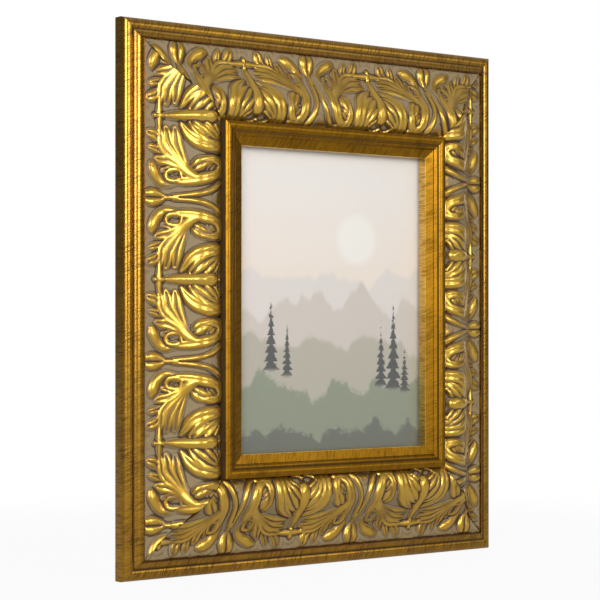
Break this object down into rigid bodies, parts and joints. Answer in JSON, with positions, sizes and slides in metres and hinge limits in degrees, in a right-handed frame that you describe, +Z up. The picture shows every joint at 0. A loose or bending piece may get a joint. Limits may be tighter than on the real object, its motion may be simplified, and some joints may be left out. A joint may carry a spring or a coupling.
{
  "type": "picture frame",
  "caption": "Wide gilded wall frame with a pressed acanthus relief band, raised sight moulding, glass, print, backing board, turn buttons and hinged hanger rings.",
  "frame": {"origin": "on the wall plane, midway between the two wall hooks that the hanger rings hang from when they are swung up", "axes": "+Z up, +X to the right as seen from the front, +Y into the wall, the front faces -Y"},
  "size_m": [0.372, 0.039, 0.4231],
  "materials": {
    "gilt_moulding": "brushed bronze-gold gilding over red bole on wood, satin",
    "gilt_ornament": "burnished gold on the relief, taupe wash in the ground, dark toning in the crevices",
    "nail_steel": "bare spring steel",
    "clear_glass": "polished clear float glass",
    "print_paper": "semi-matte print",
    "fibre_board": "smooth brown fibre board",
    "plated_steel": "bright zinc plate"
  },
  "bodies": {
    "frame": {"top_rail": "gilt_moulding", "bottom_rail": "gilt_moulding", "left_rail": "gilt_moulding", "right_rail": "gilt_moulding", "top_ornament": "gilt_ornament", "bottom_ornament": "gilt_ornament", "left_ornament": "gilt_ornament", "right_ornament": "gilt_ornament", "corner_v_nails": "nail_steel", "glass_pane": "clear_glass", "print_sheet": "print_paper", "backing_board": "fibre_board", "turn_button_screws": "plated_steel", "left_hanger_strap": "plated_steel", "right_hanger_strap": "plated_steel", "hanger_screws": "plated_steel"},
    "turn_button_top": {"turn_button_top": "plated_steel"},
    "turn_button_bottom": {"turn_button_bottom": "plated_steel"},
    "turn_button_left_upper": {"turn_button_left_upper": "plated_steel"},
    "turn_button_left_lower": {"turn_button_left_lower": "plated_steel"},
    "turn_button_right_upper": {"turn_button_right_upper": "plated_steel"},
    "turn_button_right_lower": {"turn_button_right_lower": "plated_steel"},
    "left_hanger_ring": {"left_hanger_ring": "plated_steel"},
    "right_hanger_ring": {"right_hanger_ring": "plated_steel"}
  },
  "joints": [
    {"name": "turn_button_top_turn", "type": "hinge", "parent": "frame", "child": "turn_button_top", "pos_m": [0, -0.01915, -0.00604], "axis": [0, 1, 0], "continuous": true},
    {"name": "turn_button_bottom_turn", "type": "hinge", "parent": "frame", "child": "turn_button_bottom", "pos_m": [0, -0.01915, -0.27704], "axis": [0, 1, 0], "continuous": true},
    {"name": "turn_button_left_upper_turn", "type": "hinge", "parent": "frame", "child": "turn_button_left_upper", "pos_m": [-0.11, -0.01915, -0.08154], "axis": [0, 1, 0], "continuous": true},
    {"name": "turn_button_left_lower_turn", "type": "hinge", "parent": "frame", "child": "turn_button_left_lower", "pos_m": [-0.11, -0.01915, -0.20154], "axis": [0, 1, 0], "continuous": true},
    {"name": "turn_button_right_upper_turn", "type": "hinge", "parent": "frame", "child": "turn_button_right_upper", "pos_m": [0.11, -0.01915, -0.08154], "axis": [0, 1, 0], "continuous": true},
    {"name": "turn_button_right_lower_turn", "type": "hinge", "parent": "frame", "child": "turn_button_right_lower", "pos_m": [0.11, -0.01915, -0.20154], "axis": [0, 1, 0], "continuous": true},
    {"name": "left_hanger_ring_swing", "type": "hinge", "parent": "frame", "child": "left_hanger_ring", "pos_m": [-0.122, -0.01682, -0.022], "axis": [1, 0, 0], "range_deg": [-2, 182]},
    {"name": "right_hanger_ring_swing", "type": "hinge", "parent": "frame", "child": "right_hanger_ring", "pos_m": [0.122, -0.01682, -0.022], "axis": [1, 0, 0], "range_deg": [-2, 182]}
  ]
}
